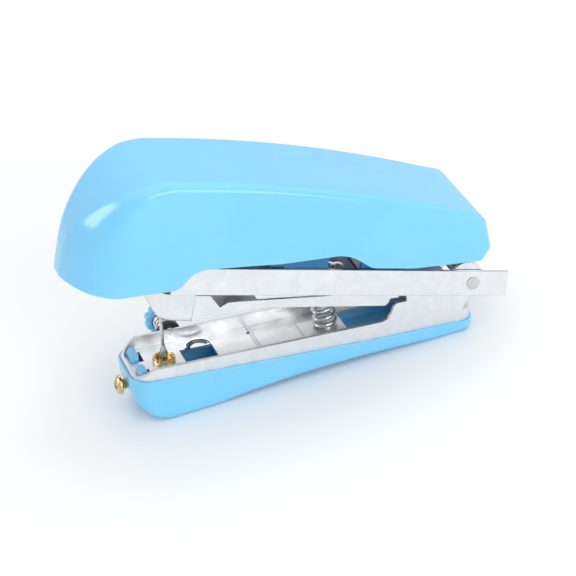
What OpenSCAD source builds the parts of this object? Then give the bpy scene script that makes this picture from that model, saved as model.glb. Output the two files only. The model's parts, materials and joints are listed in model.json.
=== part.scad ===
// Hand-held mini sewing machine, worked like a stapler.
// The base carries the needle, which points up. The arm and its cover close onto it.
// World frame: X to the rear, Y to the spool side, Z up. The origin is on the table, under the needle.
// Deck frame: the pan floor is z = 0 and the needle is the z axis. The deck slopes down to the rear.
// Arm frame: the pivot is the origin, X runs forward along the arm and Z is square to it.

/* [Base] */
// Half of the width of the sheet-metal pan
pan_half = 8.7; // [7.6:0.1:9.2]
// Distance from the needle to the front of the pan
nose_len = 9.2; // [8.4:0.1:10]
// Distance from the needle to the rear of the pan
pan_rear = 73.5; // [73:0.1:74]
// Height of the pan's side walls above its floor
rim_h = 3.3; // [2.4:0.1:3.6]
// Height of the pan floor above the table, at the needle
deck_h = 10.3; // [9.8:0.1:12]
// Downward slope of the deck towards the rear, in degrees
deck_tilt = 5.4; // [4.6:0.1:5.8]

/* [Arm] */
// Distance from the needle to the pivot
pivot_x = 73.5; // [72:0.1:75]
// Height of the pivot above the pan floor
pivot_z = 9.2; // [8.6:0.1:9.8]
// Angle at which the arm rests open above the deck, in degrees
arm_open = 12.9; // [11:0.1:13.5]
// Half of the width of the cover
cover_half = 14.6; // [14:0.1:15.2]
// Distance from the pivot to the nose of the cover
cover_nose = 98.5; // [97:0.5:101]
// Height of the cover's roof above the pivot
roof_h = 25.6; // [24.5:0.1:27.5]

/* [Sheet and shell] */
// Thickness of the steel sheet
sheet = 0.8; // [0.6:0.1:0.8]
// Wall thickness of the plastic covers
wall = 1.4; // [1.2:0.1:1.6]

/* [Hidden] */
$fn = 64;
fine = 720;
cut = 60;
eps = 0.01;

// Colours
light_blue = [0.53, 0.85, 1];
zinc = [0.86, 0.87, 0.88];
bright_steel = [0.72, 0.74, 0.76];
brass = [0.78, 0.62, 0.33];
black_rubber = [0.12, 0.12, 0.13];

// Base cover: lip round the pan, heel, rear rest, arch between them, and snap tabs
nose_r = 4.6;
rear_r = 2.6;
lip = 0.6;
lip_fit = 0.05;
lip_front_z = 0.5;
lip_rear_z = -0.75;
lip_rear_x = 48;
front_wall_z = 0.9;
rear_wall_z = 2.4;
cheek_foot = 70.4;
heel_r = 9;
heel_x = -nose_len - lip + heel_r;
heel_end = 8.4;
arch_end = 62;
arch_h = 1.3;
rear_round = 2.8;
rear_round_x = pan_rear + lip - rear_round;
tab_y = 4.25;
tab_half = 2.1;
tab_front = 1.9 - nose_len;
tab_len = 1.9;
tab_hook = 0.3;
tab_top = 2.1;
tab_root_z = -5.5;
tie_front = 0.35 - nose_len;
slot_front = tab_front - 0.13;
slot_len = 3.1;
slot_half = tab_half + 0.2;
post_x = 68.4;
post_y = 4;
post_r = 2;
base_screw_r = 1;
base_head_r = 1.8;
base_head_h = 0.9;
head_sink = 1.1;

// Openings and rib in the pan floor
window_x = 4.6;
window_len = 7.9;
window_half = 3.4;
rear_hole_x = 44.2;
rear_hole_len = 21.5;
rear_hole_half = 6;
rib_x = 22.5;
guide_x = 9.3;
guide_y = 3.2;
guide_r = 2.9;
guide_slot = 0.9;
guide_wire = 0.5;
pip_x = 21.9;
pip_y = 4.8;
pip_r = 0.45;

// Pivot pin and the ears round it
pin_r = 1.25;
pin_fit = 0.05;
ear_r = 4.2;
ear_x = pivot_x - 1.3;
ear_z = pivot_z + 1;
rivet_r = 1.6;
rivet_h = 0.35;
spacer_r = 2.2;

// Needle, collet and set screw
needle_r = 0.87;
blade_r = 0.42;
needle_tip = 12.5;
needle_root = -6.4;
cone_low = 2.4;
cone_high = 4.8;
point_len = 1.6;
collet_r = 2.7;
collet_h = 1.5;
collet_cup = 1.8;
collet_neck = 2.4;
collet_low = -7.2;
screw_z = -3.7;
screw_r = 1.25;
screw_head_r = 2.35;
screw_head_h = 1.5;
head_gap = 0.9;

// Spool spindle on the far wall, with its washer, spring and knob
spindle_x = 4;
spindle_z = 1.6;
spindle_r = 1;
spindle_end = 19;
shoulder_r = 1.8;
washer_r = 2.95;
washer_y = 9.5;
knob_r = 3.8;
knob_y = 15.7;
knob_w = 3;
knob_lobes = 10;
notch_r = 0.85;
knob_recess_r = 2.5;

// Layers from the middle outwards, as half widths
presser_half = pan_half - sheet - 0.2;
strip_in = pan_half + 0.2;
strip_out = strip_in + sheet;
press_sheet = 0.7;

// Arm strips, webs and bridge
strip_top = 3.05;
strip_low = -3.5;
strip_rear = -8.7;
strip_front = 74;
web_z = 2.25;
web_x = 47;
web_len = 14.5;
rear_web_x = 8;
rear_web_len = 8;
bridge_x = 29;
bridge_len = 11.5;
bridge_z = 0.2;
bridge_h = 2.6;
lug_x = 34.3;
lug_gap = 1.9;
lug_z = 2.2;
lug_r = 2.1;
lug_side = -7.6;
front_boss_x = 51;
rear_boss_x = 12;
cover_screw_r = 1.1;

// Cover
cover_corner = 12.6;
nose_round = 22.6;
roof_r = 310;
roof_x = 67;
rib_in = strip_in - 1;
rib_out = strip_in - 0.2;
rib_low = 1.3;
rib_rear = 17.5;
rib_mid = 36.8;

// Looper, its bracket and its drive
looper_x = 64.5;
looper_z = 5;
looper_y = 0.75;
looper_len = 9.2;
looper_angle = -40;
looper_pin_r = 0.8;
bracket_x = 55;
bracket_half = 3.2;
crank_len = 4;
crank_angle = 11.4;
crank_pin_r = 0.6;
rod_side = -5.2;
cam_side = -6.2;
cam_len = 9.42;
cam_angle = 48;

// Presser
presser_step = 67.4;
presser_low = -11.2;
presser_corner = 3.6;
floor_x = 51.2;
floor_z = -7.6;
toe_low_x = 75.2;
toe_bend_x = 75.9;
toe_bend_z = -8;
toe_top_x = 76.6;
toe_top_z = -4.2;
toe_gap = 0.05;
tongue_x = 62;
tongue_half = 5;
hole_x = 72.9;
hole_r = 1.6;

// Springs
spring_x = 39.8;
spring_r = 2.5;
spring_wire = 0.5;
spring_len = 15.4;
spring_turns = 8;
seat_x = 33.4;
seat_len = 10;
seat_h = 0.6;
press_spring_x = 56;
press_spring_low = -7.3;

// ---- frames ----

// Height in the deck frame of the table under deck position x
function table(x) = (x * sin(deck_tilt) - deck_h) / cos(deck_tilt);

module on_deck() translate([0, 0, deck_h]) rotate([0, deck_tilt, 0]) children();

module on_arm()
    on_deck() translate([pivot_x, 0, pivot_z]) rotate([0, arm_open, 0]) mirror([1, 0, 0]) children();

// A flat outline in x and z, given thickness from y0 to y1
module slab(y0, y1) translate([0, y1, 0]) rotate([90, 0, 0]) linear_extrude(y1 - y0) children();

// The same slab on both sides of the middle
module both_sides(y0, y1) {
    slab(y0, y1) children();
    slab(-y1, -y0) children();
}

// A cylinder along y
module rod_y(r, y0, y1, sides = $fn)
    translate([0, y1, 0]) rotate([90, 0, 0]) cylinder(r = r, h = y1 - y0, $fn = sides);

// Plan of the pan, shrunk by inset
module pan_plan(inset) {
    front = -nose_len + inset;
    rear = pan_rear - inset;
    half = pan_half - inset;
    rf = nose_r - inset;
    rr = rear_r - inset;
    translate([front + rf, -half]) square([rear - rr - front - rf, 2 * half]);
    translate([front, rf - half]) square([rf + eps, 2 * (half - rf)]);
    translate([rear - rr - eps, rr - half]) square([rr + eps, 2 * (half - rr)]);
    for (s = [-1, 1]) {
        translate([front + rf, s * (half - rf)]) circle(r = rf);
        translate([rear - rr, s * (half - rr)]) circle(r = rr);
    }
}

// ---- springs ----

// A coil of round wire about z, closed as one swept solid
module coil(r, wire, len, turns) {
    sides = 8;
    per_turn = 16;
    rings = turns * per_turn;
    ring_pts = [
        for (i = [0 : rings])
            let (a = 360 * i / per_turn, z = wire + (len - 2 * wire) * i / rings)
                for (k = [0 : sides - 1])
                    let (b = 360 * k / sides, d = r + wire * cos(b))
                        [d * cos(a), d * sin(a), z + wire * sin(b)]
    ];
    skin = [
        for (i = [0 : rings - 1])
            for (k = [0 : sides - 1])
                let (n = (k + 1) % sides)
                    [i * sides + k, i * sides + n, (i + 1) * sides + n, (i + 1) * sides + k]
    ];
    start = [[for (k = [sides - 1 : -1 : 0]) k]];
    end = [[for (k = [0 : sides - 1]) rings * sides + k]];
    polyhedron(ring_pts, concat(skin, start, end), convexity = 10);
}

// ---- base ----

// Side outline of the base cover down to the table
module base_profile() {
    heel_z = (heel_r - deck_h + heel_x * sin(deck_tilt)) / cos(deck_tilt);
    rear_z = table(rear_round_x) + rear_round;
    front = heel_x - heel_r;
    rear = rear_round_x + rear_round;
    intersection() {
        union() {
            translate([heel_x, heel_z]) circle(r = heel_r);
            translate([rear_round_x, rear_z]) circle(r = rear_round);
            polygon([
                [front, lip_front_z], [front, heel_z], [heel_x, heel_z], [heel_x, table(heel_x)],
                [rear_round_x, table(rear_round_x)], [rear_round_x, rear_z], [rear, rear_z],
                [rear, lip_front_z]
            ]);
        }
        // The lip falls away towards the rear
        polygon([
            [front - 1, -cut], [front - 1, lip_front_z], [front, lip_front_z], [lip_rear_x, lip_rear_z],
            [rear + 1, lip_rear_z], [rear + 1, -cut]
        ]);
    }
}

// Side outline of the hollow, which stays a wall's thickness above the arch
module base_hollow() {
    floor_h = arch_h + wall;
    polygon([
        [-nose_len, 0], [-nose_len, -2.5], [-6, -6], [-2, table(-2) + floor_h],
        [pan_rear - 2, table(pan_rear - 2) + floor_h], [pan_rear, table(pan_rear) + floor_h + 1],
        [pan_rear, 0]
    ]);
}

// Space between the heel and the rear rest, under the base
module arch() {
    span = arch_end - heel_end;
    r = (span * span / 4 + arch_h * arch_h) / (2 * arch_h);
    translate([heel_end + span / 2, 0, arch_h - r]) rod_y(r, -cut, cut, fine);
}

// Two snap tabs that come up through the front slots of the pan and hook over its floor
module snap_tabs() for (s = [-1, 1]) translate([0, s * tab_y - tab_half, 0]) {
    translate([tab_front, 0, tab_root_z]) cube([tab_len, 2 * tab_half, tab_top - tab_root_z]);
    translate([tab_front - tab_hook, 0, 0.05]) cube([tab_len, 2 * tab_half, tab_top - 0.05]);
    translate([tie_front, 0, tab_root_z])
        cube([tab_front - tie_front + 0.6, 2 * tab_half, -sheet - 0.05 - tab_root_z]);
}

module base_cover() color(light_blue) difference() {
    on_deck() difference() {
        union() {
            difference() {
                intersection() {
                    translate([0, 0, -cut]) linear_extrude(2 * cut) pan_plan(-lip);
                    slab(-cut, cut) base_profile();
                }
                intersection() {
                    translate([0, 0, -cut]) linear_extrude(2 * cut) pan_plan(wall - lip);
                    slab(-cut, cut) base_hollow();
                }
                translate([0, 0, -sheet]) linear_extrude(cut) pan_plan(-lip_fit);
            }
            snap_tabs();
            // Posts for the two base screws
            for (s = [-1, 1]) translate([post_x, s * post_y, table(post_x) + wall])
                cylinder(r = post_r, h = -sheet - table(post_x) - wall);
        }
        translate([spindle_x, 0, spindle_z]) rod_y(shoulder_r + 0.2, pan_half, cut);
        translate([-cut, 0, screw_z]) rotate([0, 90, 0]) cylinder(r = screw_r + 0.1, h = cut - 2);
        for (s = [-1, 1]) translate([post_x, s * post_y, -cut])
            cylinder(r = base_screw_r + 0.05, h = cut + 1);
        for (s = [-1, 1]) translate([post_x, s * post_y, table(post_x) - cut + head_sink])
            cylinder(r = base_head_r + 0.1, h = cut);
    }
    arch();
}

// Side outline of the pan's low wall
module rim_profile() polygon([
    [-nose_len - 1, -sheet], [-nose_len - 1, front_wall_z], [-nose_len + 1, front_wall_z],
    [-nose_len + 4.6, rim_h], [cheek_foot, rim_h], [cheek_foot, rear_wall_z],
    [pan_rear + 1, rear_wall_z], [pan_rear + 1, -sheet]
]);

// Side outline of the cheeks that carry the pivot
module cheek_profile() {
    polygon([
        [50, 0], [50, rim_h], [51, rim_h], [52.4, rim_h + 0.6], [53.4, rim_h + 2],
        [54, rim_h + 3.6], [54.8, rim_h + 4.2], [57.2, rim_h + 4.2], [57.2, rim_h + 6],
        [66, rim_h + 8.3], [ear_x, ear_z + ear_r], [ear_x + ear_r, ear_z],
        [ear_x + 3, pivot_z - 2], [ear_x + 0.4, pivot_z - 4.2], [cheek_foot, 1.2], [cheek_foot, 0]
    ]);
    translate([ear_x, ear_z]) circle(r = ear_r);
}

// Arched slot beside the window, which stops short at its rear end
module thread_slot() difference() {
    cylinder(r = guide_r, h = 2);
    translate([0, 0, -1]) cylinder(r = guide_r - guide_slot, h = 4);
    translate([-cut, -2 * cut, -1]) cube([2 * cut, 2 * cut, 4]);
    rotate(20) translate([0, -cut, -1]) cube([cut, cut, 4]);
}

module lower_frame() color(zinc) on_deck() difference() {
    union() {
        intersection() {
            translate([0, 0, -cut]) linear_extrude(2 * cut) difference() {
                pan_plan(0);
                pan_plan(sheet);
            }
            slab(-cut, cut) rim_profile();
        }
        translate([0, 0, -sheet]) linear_extrude(sheet) pan_plan(0);
        both_sides(pan_half - sheet, pan_half) cheek_profile();
        // Pressed rib across the floor
        translate([rib_x, 0, -0.2]) rod_y(0.5, -pan_half + sheet, pan_half - sheet);
    }
    // Holes for the collet, the snap tabs, the window and the spring's side of the floor
    translate([0, 0, -cut]) cylinder(r = collet_neck + 0.05, h = 2 * cut);
    for (s = [-1, 1]) translate([slot_front, s * tab_y - slot_half, -1])
        cube([slot_len, 2 * slot_half, cut]);
    translate([window_x, -window_half, -1]) cube([window_len, 2 * window_half, 2]);
    translate([rear_hole_x, -rear_hole_half, -1]) cube([rear_hole_len, 2 * rear_hole_half, 2]);
    translate([guide_x, guide_y, -1]) thread_slot();
    translate([pip_x, pip_y, -1]) cylinder(r = pip_r, h = 2);
    for (s = [-1, 1]) translate([post_x, s * post_y, -cut]) cylinder(r = base_screw_r + 0.01, h = 2 * cut);
    // Holes for the pivot pin and the spool spindle
    translate([pivot_x, 0, pivot_z]) rod_y(pin_r + 0.01, -cut, cut);
    translate([spindle_x, 0, spindle_z]) rod_y(spindle_r + 0.01, 0, cut);
}

module needle_collet() color(brass) on_deck() difference() {
    union() {
        translate([0, 0, collet_low]) cylinder(r = collet_neck, h = -collet_low);
        cylinder(r = collet_r, h = collet_h);
    }
    translate([0, 0, 0.3]) cylinder(r = collet_cup, h = collet_h);
    translate([0, 0, -cut]) cylinder(r = needle_r + 0.02, h = 2 * cut);
    translate([-cut, 0, screw_z]) rotate([0, 90, 0]) cylinder(r = screw_r + 0.01, h = cut);
    // Four slots across the rim
    for (a = [45, 135]) rotate([0, 0, a]) translate([-collet_r - 1, -0.4, collet_h - 0.7])
        cube([2 * collet_r + 2, 0.8, 2]);
}

module needle() color(bright_steel) on_deck() {
    translate([0, 0, needle_root]) cylinder(r = needle_r, h = cone_low - needle_root);
    translate([0, 0, cone_low]) cylinder(r1 = needle_r, r2 = blade_r, h = cone_high - cone_low);
    difference() {
        translate([0, 0, cone_high]) cylinder(r = blade_r, h = needle_tip - point_len - cone_high);
        translate([0, 0, needle_tip - point_len - 0.4]) rod_y(0.18, -1, 1);
    }
    translate([0, 0, needle_tip - point_len]) cylinder(r1 = blade_r, r2 = 0.04, h = point_len);
}

module needle_set_screw() color(brass) on_deck() translate([-needle_r, 0, screw_z]) rotate([0, -90, 0])
    difference() {
        shank = nose_len + lip + head_gap - needle_r;
        union() {
            cylinder(r = screw_r, h = shank);
            translate([0, 0, shank]) cylinder(r = screw_head_r, h = screw_head_h - 0.6);
            translate([0, 0, shank + screw_head_h - 0.6])
                cylinder(r1 = screw_head_r, r2 = screw_head_r - 0.8, h = 0.6);
        }
        for (a = [0, 90]) rotate([0, 0, a]) translate([-1.3, -0.25, shank + screw_head_h - 0.8])
            cube([2.6, 0.5, 2]);
    }

module base_screws() color(bright_steel) on_deck() for (s = [-1, 1])
    translate([post_x, s * post_y, table(post_x) + head_sink - base_head_h]) difference() {
        union() {
            cylinder(r = base_head_r, h = base_head_h);
            cylinder(r = base_screw_r, h = -table(post_x) - head_sink + base_head_h - 0.1);
        }
        for (a = [0, 90]) rotate([0, 0, a]) translate([-0.9, -0.2, -1]) cube([1.8, 0.4, 1.4]);
    }

module pivot_pin() color(bright_steel) on_deck() translate([pivot_x, 0, pivot_z]) {
    rod_y(pin_r, -strip_out - rivet_h, strip_out + rivet_h);
    for (s = [-1, 1]) translate([0, s * (strip_out + 0.02 + rivet_h / 2), 0])
        rod_y(rivet_r, -rivet_h / 2, rivet_h / 2);
}

// Two short tubes that keep the presser centred between the cheeks
module pivot_spacers() color(bright_steel) on_deck() translate([pivot_x, 0, pivot_z]) difference() {
    end = presser_half - press_sheet - 0.05;
    union() {
        rod_y(spacer_r, -end, cam_side - 0.05);
        rod_y(spacer_r, cam_side + sheet + 0.05, end);
    }
    rod_y(pin_r + 0.01, -cut, cut);
}

module spool_spindle() color(bright_steel) on_deck() translate([spindle_x, 0, spindle_z]) {
    rod_y(spindle_r, pan_half - sheet, spindle_end);
    rod_y(shoulder_r, pan_half, washer_y);
}

module tension_washer() color(black_rubber) on_deck() translate([spindle_x, 0, spindle_z]) difference() {
    rod_y(washer_r, washer_y, washer_y + 1);
    rod_y(spindle_r + 0.02, 0, cut);
}

module tension_spring() color(bright_steel) on_deck() translate([spindle_x, washer_y + 1, spindle_z])
    rotate([-90, 0, 0]) coil(2, 0.3, knob_y - washer_y - 0.1, 5);

module tension_knob() color(light_blue) on_deck() translate([spindle_x, 0, spindle_z]) difference() {
    slab(knob_y, knob_y + knob_w) difference() {
        circle(r = knob_r);
        for (a = [0 : 360 / knob_lobes : 359]) rotate(a) translate([knob_r + notch_r * 0.55, 0])
            circle(r = notch_r);
    }
    rod_y(spindle_r + pin_fit, 0, cut);
    rod_y(knob_recess_r, 0, knob_y + 1);
}

// A bent wire round the thread slot
module thread_guide() color(bright_steel) on_deck() translate([guide_x, guide_y, 0]) difference() {
    cylinder(r = guide_r + guide_wire, h = guide_wire);
    translate([0, 0, -1]) cylinder(r = guide_r + 0.05, h = 2);
    translate([-cut, -2 * cut, -1]) cube([2 * cut, 2 * cut, 3]);
}

module spring_seat() color(zinc) on_deck() {
    translate([seat_x, -3.6, 0]) cube([seat_len, 7.2, seat_h]);
    translate([spring_x, 0, 0]) cylinder(r = 1.7, h = seat_h + 1.6);
}

// The return spring stands upright on its seat
module main_spring() color(bright_steel)
    translate([spring_x * cos(deck_tilt), 0, deck_h - spring_x * sin(deck_tilt) + seat_h + 0.3])
        coil(spring_r, spring_wire, spring_len, spring_turns);

// ---- arm ----

module arm_web(x0, x1, z, holes) difference() {
    translate([x0, -strip_in - eps, z]) cube([x1 - x0, 2 * strip_in + 2 * eps, sheet]);
    for (x = holes) translate([x, 0, z - 1]) cylinder(r = cover_screw_r + 0.1, h = 3);
}

module upper_arm() color(zinc) on_arm() {
    difference() {
        both_sides(strip_in, strip_out) polygon([
            [strip_rear - 0.15, strip_low + 0.2], [strip_rear + 0.15, strip_top],
            [strip_front - 2, strip_top], [strip_front, strip_top - 2], [strip_front, strip_low]
        ]);
        rod_y(pin_r + pin_fit, -cut, cut);
    }
    arm_web(web_x, web_x + web_len, web_z, [front_boss_x]);
    arm_web(rear_web_x, rear_web_x + rear_web_len, web_z, [rear_boss_x]);
}

// The cross piece that the return spring pushes against, with two lugs bent up over the strips
module spring_bridge() color(zinc) on_arm() {
    translate([bridge_x, -strip_in, bridge_z]) cube([bridge_len, 2 * strip_in, sheet]);
    translate([bridge_x, -strip_in, bridge_z]) cube([sheet, 2 * strip_in, bridge_h]);
    for (x = [lug_x, lug_x + lug_gap]) difference() {
        translate([x, 0, lug_z]) rod_y(lug_r, lug_side, lug_side + sheet);
        translate([x, 0, lug_z]) rod_y(lug_r - 0.5, -cut, cut);
        translate([-cut, -cut, bridge_z - cut]) cube([2 * cut, 2 * cut, cut]);
    }
}

// Side outline of the cover above its lower edge, moved inwards by inset
module cover_profile(inset) {
    nose_x = cover_nose - nose_round;
    nose_z = roof_h - nose_round - 0.1;
    difference() {
        union() {
            intersection() {
                translate([roof_x, roof_h - roof_r]) circle(r = roof_r - inset, $fn = fine);
                translate([-10, -25]) square([nose_x + 10, cut]);
            }
            translate([nose_x, nose_z]) circle(r = nose_round - inset);
            translate([nose_x - eps, -25]) square([nose_round - inset + eps, 25 + nose_z]);
        }
        // Sloping rear face with its lower chamfer
        polygon([
            [-12, -26], [-12, 45], [inset + 12.8, 45], [inset - 0.5, 11.3], [inset + 1, 8.2],
            [inset + 1, -26]
        ]);
    }
}

// Lower edge of the cover, from the nose back over the arch
module cover_edge() {
    polygon([
        [-12, -cut], [-12, 8.5], [1, 8.2], [17.7, 6], [28.4, 5.9], [31, 7.3], [33.5, 8.5], [36.5, 8.9],
        [50.5, 6.7], [64.2, 5.6], [68.9, 5.1], [71.1, 4.1], [72.4, 2.5], [73.3, 0.7], [75.1, -0.2],
        [81.1, -1.1], [88.5, -2.4], [cover_nose + 1, -2.4], [cover_nose + 1, -cut]
    ]);
}

// Plan of the cover with its rounded nose
module cover_plan(inset) {
    r = cover_corner - inset;
    half = cover_half - inset;
    front = cover_nose - inset;
    translate([-10, -half]) square([front - r + 10, 2 * half]);
    translate([front - r - eps, r - half]) square([r + eps, 2 * (half - r)]);
    for (s = [-1, 1]) translate([front - r, s * (half - r)]) circle(r = r);
}

module cover_block(inset) intersection() {
    slab(-cut, cut) cover_profile(inset);
    translate([0, 0, -cut]) linear_extrude(2 * cut) cover_plan(inset);
}

module top_cover() color(light_blue) on_arm() {
    difference() {
        cover_block(0);
        cover_block(wall);
        slab(-cut, cut) cover_edge();
    }
    // Screw posts under the roof
    intersection() {
        cover_block(wall / 2);
        for (x = [front_boss_x, rear_boss_x]) translate([x, 0, web_z + sheet]) difference() {
            cylinder(r = 2.4, h = cut);
            translate([0, 0, -1]) cylinder(r = cover_screw_r, h = 8);
        }
    }
}

// Ribs under the roof that stand inside the strips, clear of the bridge and the front web
module cover_ribs() color(light_blue) on_arm() intersection() {
    cover_block(wall);
    both_sides(rib_in, rib_out) {
        polygon([[rib_rear, rib_low], [bridge_x - 0.4, rib_low], [bridge_x - 0.4, cut], [rib_rear, cut]]);
        polygon([
            [rib_mid, rib_low], [web_x - 0.3, rib_low], [web_x - 0.3, web_z + sheet + 0.3],
            [front_boss_x, web_z + sheet + 0.3], [front_boss_x, cut], [rib_mid, cut]
        ]);
    }
}

module cover_screws() color(bright_steel) on_arm() for (x = [front_boss_x, rear_boss_x])
    translate([x, 0, web_z - 1.2]) difference() {
        union() {
            cylinder(r = 2, h = 1.2);
            cylinder(r = cover_screw_r - 0.02, h = 7.5);
        }
        for (a = [0, 90]) rotate([0, 0, a]) translate([-1, -0.25, -1]) cube([2, 0.5, 1.6]);
    }

module looper_bracket() color(zinc) on_arm() difference() {
    union() {
        translate([bracket_x, -bracket_half, web_z + sheet])
            cube([web_x + web_len - bracket_x, 2 * bracket_half, sheet]);
        both_sides(bracket_half - sheet, bracket_half) {
            polygon([
                [bracket_x, web_z + sheet], [web_x + web_len, web_z + sheet],
                [looper_x + 1, looper_z - 1.6], [looper_x, looper_z], [bracket_x + 2, looper_z]
            ]);
            translate([looper_x, looper_z]) circle(r = 1.9);
        }
    }
    translate([looper_x, 0, looper_z]) rod_y(looper_pin_r + 0.01, -cut, cut);
}

module looper_pin() color(bright_steel) on_arm() translate([looper_x, 0, looper_z])
    rod_y(looper_pin_r, -bracket_half - 0.3, bracket_half + 0.3);

// The hooked lever that catches the thread beside the needle
module looper() color(bright_steel) on_arm() difference() {
    union() {
        slab(looper_y, looper_y + 0.8) {
            translate([looper_x, looper_z]) {
                circle(r = 1.9);
                rotate(looper_angle) polygon([
                    [0, -1.6], [looper_len * 0.75, -1], [looper_len, 0], [looper_len - 1.6, 0.3],
                    [looper_len * 0.6, 0.9], [0, 1.6]
                ]);
                rotate(-crank_angle) translate([-0.9, 0]) square([1.8, crank_len + 0.6]);
            }
        }
        translate([looper_x + crank_len * sin(crank_angle), 0, looper_z + crank_len * cos(crank_angle)])
            rod_y(crank_pin_r, rod_side - 0.4, looper_y + eps);
    }
    translate([looper_x, 0, looper_z]) rod_y(looper_pin_r + pin_fit, -cut, cut);
}

// The lever on the pivot pin that moves the push rod as the arm closes
module drive_cam() color(bright_steel) on_arm() difference() {
    union() {
        slab(cam_side, cam_side + sheet) {
            circle(r = 2.9);
            rotate(90 - cam_angle) translate([0, -1.1]) square([cam_len, 2.2]);
            rotate(90 - cam_angle) translate([cam_len, 0]) circle(r = 1.1);
        }
        translate([cam_len * sin(cam_angle), 0, cam_len * cos(cam_angle)])
            rod_y(crank_pin_r, cam_side + eps, rod_side + sheet + 0.4);
    }
    rod_y(pin_r + 0.01, -cut, cut);
}

// The flat rod between the drive cam and the looper
module push_rod() color(zinc) on_arm() slab(rod_side, rod_side + sheet) {
    cam_pin_x = cam_len * sin(cam_angle);
    crank_x = looper_x + crank_len * sin(crank_angle);
    slot = 2 * crank_pin_r + 0.4;
    difference() {
        union() {
            translate([cam_pin_x - 1.8, 4.8]) square([3.6, 5]);
            translate([cam_pin_x, 8]) square([crank_x - cam_pin_x, 1.8]);
            translate([crank_x - 1.8, 7.1]) square([3.6, 3.6]);
        }
        translate([cam_pin_x - slot / 2, 5.5]) square([slot, 3.2]);
        translate([crank_x - slot / 2, 7.9]) square([slot, 2]);
    }
}

// ---- presser ----

// Height of the top of the presser's sloping floor
function floor_top(x) =
    floor_z + press_sheet + (presser_low - floor_z) * (x - floor_x) / (presser_step - floor_x);

// Side outline of the presser's plates, from the pivot to the toe
module presser_side() {
    circle(r = 2.9);
    polygon([
        [0, 2.9], [6, 1], [20, 0.8], [26, -2.6], [35, -4.5], [56.9, -6.1], [59.3, -6.4], [61, -7.6],
        [63.7, -4.7], [presser_step, -4.6], [presser_step, presser_low], [floor_x, floor_z], [20.3, -7],
        [19.6, -6.2], [19.3, -5.1], [17.3, -4.8], [17.1, -3.6], [2, -2.6], [0, -2.9]
    ]);
}

module presser_frame() color(zinc) on_arm() difference() {
    union() {
        both_sides(presser_half - press_sheet, presser_half) presser_side();
        // Floor, which slopes down to the toe
        slab(-presser_half, presser_half) polygon([
            [floor_x, floor_z], [presser_step, presser_low], [presser_step, floor_top(presser_step)],
            [floor_x, floor_top(floor_x)]
        ]);
    }
    rod_y(pin_r + pin_fit, -cut, cut);
}

// The toe with its rounded plan and leaning front, shrunk by inset and carried up to the height top
module toe_block(inset, rear, top) intersection() {
    r = presser_corner - inset;
    half = presser_half - inset;
    front = toe_top_x - inset;
    slab(-cut, cut) polygon([
        [rear, presser_low + inset], [toe_low_x - inset, presser_low + inset],
        [toe_bend_x - inset, toe_bend_z], [front, toe_top_z], [front, top], [rear, top]
    ]);
    union() {
        translate([rear, -half, -cut]) cube([front - r - rear, 2 * half, 2 * cut]);
        translate([front - r - eps, r - half, -cut]) cube([r + eps, 2 * (half - r), 2 * cut]);
        for (s = [-1, 1]) translate([front - r, s * (half - r), -cut]) cylinder(r = r, h = 2 * cut);
    }
}

// The cup at the front of the presser, open at the top for the looper and at the rear
module presser_foot() color(zinc) on_arm() difference() {
    union() {
        difference() {
            toe_block(0, presser_step + toe_gap, toe_top_z);
            toe_block(press_sheet, presser_step - 1, cut);
        }
        // Tongue that lies on the presser's floor
        slab(-tongue_half, tongue_half) polygon([
            [tongue_x, floor_top(tongue_x)], [presser_step, floor_top(presser_step)],
            [presser_step + toe_gap, floor_top(presser_step)], [presser_step + toe_gap, presser_low + 0.2],
            [presser_step + 2, presser_low + 0.2], [presser_step + 2, presser_low + press_sheet + 0.1],
            [presser_step, floor_top(presser_step) + press_sheet],
            [tongue_x, floor_top(tongue_x) + press_sheet]
        ]);
    }
    translate([hole_x, 0, -cut]) cylinder(r = hole_r, h = cut);
}

module presser_spring() color(bright_steel) on_arm() translate([press_spring_x, 0, press_spring_low])
    coil(1.9, 0.35, web_z - 0.1 - press_spring_low, 6);

base_cover();
lower_frame();
base_screws();
needle_collet();
needle();
needle_set_screw();
pivot_pin();
pivot_spacers();
drive_cam();
thread_guide();
spring_seat();
main_spring();
spool_spindle();
tension_washer();
tension_spring();
tension_knob();
upper_arm();
spring_bridge();
top_cover();
cover_ribs();
cover_screws();
looper_bracket();
looper_pin();
looper();
push_rod();
presser_frame();
presser_foot();
presser_spring();
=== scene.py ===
import json
import math

import bmesh
import bpy
import numpy as np
from mathutils import Matrix, Vector


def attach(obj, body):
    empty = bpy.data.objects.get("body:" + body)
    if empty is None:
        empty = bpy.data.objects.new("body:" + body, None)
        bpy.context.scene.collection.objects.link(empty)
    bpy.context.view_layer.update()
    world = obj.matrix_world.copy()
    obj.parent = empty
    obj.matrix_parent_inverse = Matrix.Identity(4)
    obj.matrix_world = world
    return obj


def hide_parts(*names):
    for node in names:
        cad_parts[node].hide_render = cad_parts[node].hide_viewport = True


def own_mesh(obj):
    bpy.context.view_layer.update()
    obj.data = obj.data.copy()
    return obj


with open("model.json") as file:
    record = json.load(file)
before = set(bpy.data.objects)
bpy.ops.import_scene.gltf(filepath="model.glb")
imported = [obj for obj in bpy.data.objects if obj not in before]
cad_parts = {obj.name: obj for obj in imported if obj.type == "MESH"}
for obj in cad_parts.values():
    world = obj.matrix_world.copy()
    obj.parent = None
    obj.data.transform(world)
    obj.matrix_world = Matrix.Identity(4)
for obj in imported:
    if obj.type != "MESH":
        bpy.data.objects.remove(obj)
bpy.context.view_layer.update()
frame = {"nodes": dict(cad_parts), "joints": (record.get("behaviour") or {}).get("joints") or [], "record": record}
scene = bpy.context.scene
MM = 0.001

# ---- sizes in mm ----------------------------------------------------------
# Most are the CAD's own. The nose's ellipse and the toe's wall are the visual's.
DECK_H = 10.3
DECK_TILT = 5.4
ARM_OPEN = 12.9
WALL = 1.4
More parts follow.
